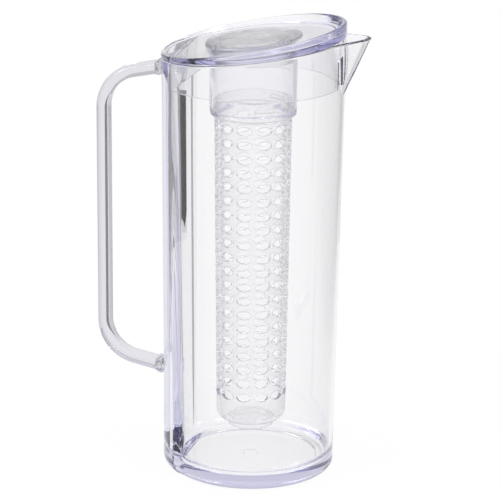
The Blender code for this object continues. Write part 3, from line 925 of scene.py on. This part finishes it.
pick_ring(rod, top=False, outer=True)
extrude_profile(rod, bowl_profile(24, 8, 7) + FOOT_PROFILE)
bpy.ops.mesh.edge_face_add()
pick_ring(rod, top=False, outer=False)
extrude_profile(rod, bowl_profile(21.8, 5.8, 6))
bpy.ops.mesh.edge_face_add()
close_up(rod)
apply_modifier(rod, "BEVEL", width=HOLE_ROUND, segments=3, limit_method="ANGLE", angle_limit=50 * DEG)
close_up(rod, ROD_SHARP)

# %% [markdown]
# ## Joining the pieces to the frame
# Each piece stands for one imported solid and rides on that solid's body, so that it follows when the lid is
# lifted or the rod is twisted.

# %% Bodies
for piece, node, body in ((jug, "pitcher_body", "pitcher"), (handle, "handle", "pitcher"),
                          (lid, "lid", "lid_set"), (cap, "lid_cap", "lid_set"),
                          (rod, "infuser_rod", "infuser")):
    even_shading(piece)
    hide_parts(node)
    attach(piece, body)
    shape = bmesh.new()
    shape.from_mesh(piece.data)
    loose = sum(not edge.is_manifold for edge in shape.edges)
    print(piece.name, "volume", round(shape.calc_volume() * 1e6, 2), "ml, open edges", loose)
    shape.free()

# %% [markdown]
# ## Building finishes from nodes
# A finish is a small tree of nodes, and the same few nodes turn up in every tree: a sum, a change of range, a
# place split into X, Y and Z. Each gets a helper that takes numbers or other nodes' outputs. They serve the
# plastic, the floor, the cards and the room.

# %% Node helpers
def add_node(tree, kind, inputs, **settings):
    """A shader node; each input takes a number, a colour or another node's output."""
    node = tree.nodes.new("ShaderNode" + kind)
    for key, value in settings.items():
        setattr(node, key, value)
    for key, value in inputs.items():
        if isinstance(value, bpy.types.NodeSocket):
            tree.links.new(value, node.inputs[key])
        else:
            node.inputs[key].default_value = value
    return node


def add_math(tree, operation, *values):
    """The outcome of a sum with one or two values."""
    return add_node(tree, "Math", dict(enumerate(values)), operation=operation).outputs[0]


def add_range(tree, value, before, after, easing="LINEAR"):
    """Map a value from one range to another."""
    inputs = {"Value": value, "From Min": before[0], "From Max": before[1],
              "To Min": after[0], "To Max": after[1]}
    return add_node(tree, "MapRange", inputs, interpolation_type=easing).outputs["Result"]


def split(tree, kind, output):
    """X, Y and Z of what a node gives out."""
    source = add_node(tree, kind, {})
    return add_node(tree, "SeparateXYZ", {"Vector": source.outputs[output]}).outputs


def new_material(name):
    """A new material and its tree of nodes."""
    material = bpy.data.materials.new(name)
    material.use_nodes = True
    return material, material.node_tree


print("node helpers ready")

# %% [markdown]
# ## Clear plastic
# Thick moulded plastic is colourless face on and lavender along its edges, where light has travelled far
# inside it. A Volume Absorption node gives just that: the colour grows with the length of the path. The lid
# is the deepest in tint. The base colour of upright walls is also painted darker where they are seen edge
# on, a painted shade that is strongest on the handle's rounded bar. The surface has a faint waviness from
# the mould and a haze from handling. The rod and the cap are hazier than the jug, so that what lies behind
# them runs soft.

# %% Clear plastic
PLASTIC_IOR = 1.5
LAVENDER = (0.775, 0.77, 0.90, 1)
UPRIGHT_LIMIT = 1.1
HANDLING_SCALE = 60


def clear_plastic(name, haze, wave_size, wave_depth, face, edge, depth):
    """Clear moulded plastic; face and edge give an upright wall's base colour face on and edge on, where it
    carries a painted shade.
    """
    material, tree = new_material(name)
    shader = tree.nodes["Principled BSDF"]
    shader.inputs["IOR"].default_value = PLASTIC_IOR
    shader.inputs["Transmission Weight"].default_value = 1.0
    # painted shade: the base colour darkens where an upright wall is seen edge on
    edge_on = add_node(tree, "LayerWeight", {"Blend": 0.5}).outputs["Facing"]
    lying = add_math(tree, "ABSOLUTE", split(tree, "NewGeometry", "Normal")["Z"])
    share = add_math(tree, "MULTIPLY", edge_on, add_math(tree, "SUBTRACT", UPRIGHT_LIMIT, lying))
    painted_edge_shade = add_range(tree, share, (0, 1), (face, edge))
    place = add_node(tree, "TexCoord", {}).outputs["Object"]
    handling = add_node(tree, "TexNoise", {"Vector": place, "Scale": HANDLING_SCALE, "Detail": 4})
    spread = add_range(tree, handling.outputs["Fac"], (0.35, 0.75), (0.5 * haze, 1.6 * haze))
    ripple = add_node(tree, "TexNoise", {"Vector": place, "Scale": 1 / wave_size, "Detail": 1})
    bump = add_node(tree, "Bump", {"Strength": 1.0, "Distance": wave_depth, "Height": ripple.outputs["Fac"]})
    tint = add_node(tree, "VolumeAbsorption", {"Color": LAVENDER, "Density": depth})
    tree.links.new(painted_edge_shade, shader.inputs["Base Color"])
    tree.links.new(spread, shader.inputs["Roughness"])
    tree.links.new(bump.outputs["Normal"], shader.inputs["Normal"])
    tree.links.new(tint.outputs["Volume"], tree.nodes["Material Output"].inputs["Volume"])
    return material


# piece, haze, size and depth of the waves in metres, base colour face on and edge on (a painted edge shade),
# depth of the tint
finishes = ((jug, 0.012, 0.03, 0.00004, 0.99, 0.85, 16), (handle, 0.015, 0.02, 0.00003, 0.87, 0.1, 36),
            (lid, 0.012, 0.03, 0.00003, 0.99, 0.95, 40), (cap, 0.2, 0.02, 0.00003, 0.97, 0.7, 16),
            (rod, 0.12, 0.012, 0.00004, 0.99, 0.85, 16))
for piece, *finish in finishes:
    piece.data.materials.clear()
    piece.data.materials.append(clear_plastic(piece.name + "_plastic", *finish))
print("five clear finishes")

# %% [markdown]
# ## Floor
# The jug stands on a plain white floor that runs on behind it. The floor gives its own white to the camera
# and to what is seen through and on the plastic. A small share of plain diffuse white keeps the shadow. To
# the right, behind the jug, that own white is painted darker for what the plastic shows, a painted shade on
# the spout's side of the wall.

# %% Floor
FLOOR_SIDE = 12
FLOOR_DROP = 0.3 * MM
PAPER_WHITE = (0.9, 0.9, 0.9, 1)
OWN_WHITE = 0.95
RIGHT_FADE, BEHIND_FADE = (0.1, 0.34), (0.06, 0.26)
DEEPEST_SHADE = 0.38
rest()
bpy.ops.mesh.primitive_plane_add(size=FLOOR_SIDE, location=(0, 0, -FLOOR_DROP))
floor = name_new("floor")
paper, tree = new_material("white_paper")
tree.nodes.remove(tree.nodes["Principled BSDF"])
path = add_node(tree, "LightPath", {}).outputs
seen = add_math(tree, "MAXIMUM", path["Is Camera Ray"], path["Is Glossy Ray"])
seen = add_math(tree, "MAXIMUM", seen, path["Is Transmission Ray"])
spot = split(tree, "TexCoord", "Object")
# painted shade: the floor's own white is darker to the right, behind the jug, for rays seen through and on
# the plastic
right_shade = add_range(tree, spot["X"], RIGHT_FADE, (0, DEEPEST_SHADE), "SMOOTHSTEP")
behind = add_range(tree, spot["Y"], BEHIND_FADE, (0, 1), "SMOOTHSTEP")
lit = add_math(tree, "SUBTRACT", 1.0, add_math(tree, "MULTIPLY", right_shade, behind))
glow = add_node(tree, "Emission", {"Strength": add_math(tree, "MAXIMUM", lit, path["Is Camera Ray"])})
matt = add_node(tree, "BsdfDiffuse", {"Color": PAPER_WHITE})
mix = add_node(tree, "MixShader", {"Fac": add_math(tree, "MULTIPLY", seen, OWN_WHITE),
                                   1: matt.outputs["BSDF"], 2: glow.outputs["Emission"]})
tree.links.new(mix.outputs["Shader"], tree.nodes["Material Output"].inputs["Surface"])
floor.data.materials.append(paper)
print("floor laid")

# %% [markdown]
# ## Light
# A white room lights the jug from all round, brightest overhead and dimmer towards the horizon, as in a
# studio with a pale ceiling. What the plastic shows along its edges is that change of brightness.

# %% World
HORIZON_FADE = (0.15, 0.65)
HORIZON_LIGHT, OVERHEAD_LIGHT = 0.7, 1.1
world = bpy.data.worlds.new("studio")
bpy.context.scene.world = world
world.use_nodes = True
tree = world.node_tree
up = split(tree, "TexCoord", "Generated")["Z"]
fade = add_range(tree, up, HORIZON_FADE, (HORIZON_LIGHT, OVERHEAD_LIGHT), "SMOOTHSTEP")
path = add_node(tree, "LightPath", {}).outputs
room = tree.nodes["Background"]
room.inputs["Color"].default_value = (1, 1, 1, 1)
tree.links.new(add_math(tree, "MAXIMUM", fade, path["Is Camera Ray"]), room.inputs["Strength"])
print("white room with a dimmer horizon")

# %% [markdown]
# ## Dark cards
# Clear plastic shows its surroundings as dark streaks, and a photographer puts them there with strips of
# black and grey paper. A wide card far away would be seen straight through the jug. So thin cards stand close
# to the back and behind the grip, and one to the side is seen only in the gloss. The strip on the floor is
# seen only after a reflection inside the plastic, off the flat inside of the back.

# %% Card paper
def card_paper(name, grey, mirrored_only=False):
    """Matt paper, on request clear to all rays that no gloss has turned back on their way."""
    paper, tree = new_material(name)
    tree.nodes.remove(tree.nodes["Principled BSDF"])
    surface = add_node(tree, "BsdfDiffuse", {"Color": (grey, grey, grey, 1)}).outputs["BSDF"]
    if mirrored_only:
        path = add_node(tree, "LightPath", {}).outputs
        clear = add_node(tree, "BsdfTransparent", {}).outputs["BSDF"]
        turned = add_math(tree, "GREATER_THAN", path["Glossy Depth"], 0.5)
        surface = add_node(tree, "MixShader", {"Fac": turned, 1: clear, 2: surface}).outputs["Shader"]
    tree.links.new(surface, tree.nodes["Material Output"].inputs["Surface"])
    return paper


black_paper = card_paper("black_paper", 0.004)
grey_paper = card_paper("grey_paper", 0.3)
mirrored_paper = card_paper("mirrored_paper", 0.02, mirrored_only=True)
print("card papers", black_paper.name, grey_paper.name, mirrored_paper.name)


# %% Cards
def add_card(name, paper, place, size, turn):
    """A flat card at a place measured from the jug's axis, kept out of sight and out of the light's way."""
    rest()
    bpy.ops.mesh.primitive_plane_add(size=1, location=AXIS + Vector(place), rotation=turn)
    bpy.context.object.scale = (size[0], size[1], 1)
    card = name_new(name)
    card.data.materials.append(paper)
    card.visible_camera = False
    card.visible_diffuse = False
    card.visible_shadow = False
    return card


UPRIGHT = math.pi / 2
STRIP_TURN = -14.4 * DEG
back_card = add_card("back_card", black_paper, (-0.067, 0.02, 0.216), (0.006, 0.088), (UPRIGHT, 0, 0))
side_card = add_card("side_card", black_paper, (-0.5, -0.062, 0.09), (0.105, 0.14), (UPRIGHT, 0, UPRIGHT))
side_card.visible_transmission = False
add_card("floor_strip", mirrored_paper, (0.155, 0.773, 0.001), (0.016, 0.51), (0, 0, STRIP_TURN))
corner_card = add_card("corner_card", grey_paper, (-0.0688, 0.04, 0.156), (0.0045, 0.222), (UPRIGHT, 0, 0))
grip_card = add_card("grip_card", grey_paper, (-0.1145, 0.02, 0.1675), (0.005, 0.155), (UPRIGHT, 0, 0))
print("five dark cards")


# %% Points of the cards
def point_card(card, way):
    """Draw one end of an upright card out to a point, by a way down or up."""
    heights = [corner.co.z for corner in card.data.vertices]
    end = max(heights) if way > 0 else min(heights)
    edit(card)
    bpy.ops.mesh.select_all(action="DESELECT")
    shape = bmesh.from_edit_mesh(card.data)
    for corner in shape.verts:
        corner.select_set(abs(corner.co.z - end) < MM)
    shape.select_flush(True)
    bmesh.update_edit_mesh(card.data)
    bpy.ops.mesh.extrude_region_move(TRANSFORM_OT_translate={"value": (0, 0, way)})
    bpy.ops.mesh.merge(type="CENTER")
    rest()
    print(card.name, "with", len(card.data.vertices), "corners")


for card, way in ((back_card, -12), (corner_card, -60), (grip_card, -30), (grip_card, 20)):
    point_card(card, way * MM)

# %% [markdown]
# ## Lamps
# Two softboxes stand in front, one on each side and above the jug. The room already gives most of the light,
# so they are weak. They add the pale reflections on the lid's rim and the bar, and a faint shadow.

# %% Lamps
LAMP_AIM = Vector((0, 0, 0.15))


def add_softbox(name, place, width, height, power):
    """A rectangular lamp that looks at the middle of the jug."""
    rest()
    bpy.ops.object.light_add(type="AREA", location=place)
    lamp = bpy.context.object
    lamp.name = name
    lamp.data.shape = "RECTANGLE"
    lamp.data.size = width
    lamp.data.size_y = height
    lamp.data.energy = power
    lamp.rotation_euler = (LAMP_AIM - Vector(place)).to_track_quat("-Z", "Y").to_euler()


add_softbox("left_softbox", (-1.5, -1.4, 1.5), 0.8, 0.8, 14)
add_softbox("right_softbox", (1.7, -0.8, 1.6), 0.7, 0.9, 12)
print("two softboxes")

# %% [markdown]
# ## Camera
# The camera stands some two metres away, a little to the spout's side, and looks down at the jug. Its place,
# turn and lens were measured on the photograph, so they are written as numbers.

# %% Camera
VIEW_WAY = Vector((-0.21482, 0.93048, -0.29674)).normalized()
VIEW_RIGHT = Vector((0.97437, 0.22495, 0)).normalized()
VIEW_ROLL = 0.00792
VIEW_PLACE = Vector((0.403322, -1.753629, 0.713625))
PHOTO_SIDE = 500
FOCAL_PIXELS = 2743.95
SENSOR = 36
view_up = VIEW_RIGHT.cross(VIEW_WAY)
right = VIEW_RIGHT * math.cos(VIEW_ROLL) + view_up * math.sin(VIEW_ROLL)
up = view_up * math.cos(VIEW_ROLL) - VIEW_RIGHT * math.sin(VIEW_ROLL)
rest()
bpy.ops.object.camera_add(location=AXIS + VIEW_PLACE)
camera = bpy.context.object
camera.rotation_euler = Matrix((right, up, -VIEW_WAY)).transposed().to_euler()
camera.data.sensor_width = SENSOR
camera.data.lens = FOCAL_PIXELS / PHOTO_SIDE * SENSOR
camera.data.clip_end = 50
scene = bpy.context.scene
scene.camera = camera
scene.view_settings.view_transform = "Standard"
print("camera", round(camera.data.lens, 1), "mm")

# %% [markdown]
# ## Bounces
# A ray through jug, skirt, collar and rod and out again crosses more than a dozen surfaces. Blender's default
# number of bounces would end some of them in black, so it is raised.

# %% Bounces
scene.cycles.max_bounces = 40
scene.cycles.transmission_bounces = 40
scene.cycles.glossy_bounces = 24
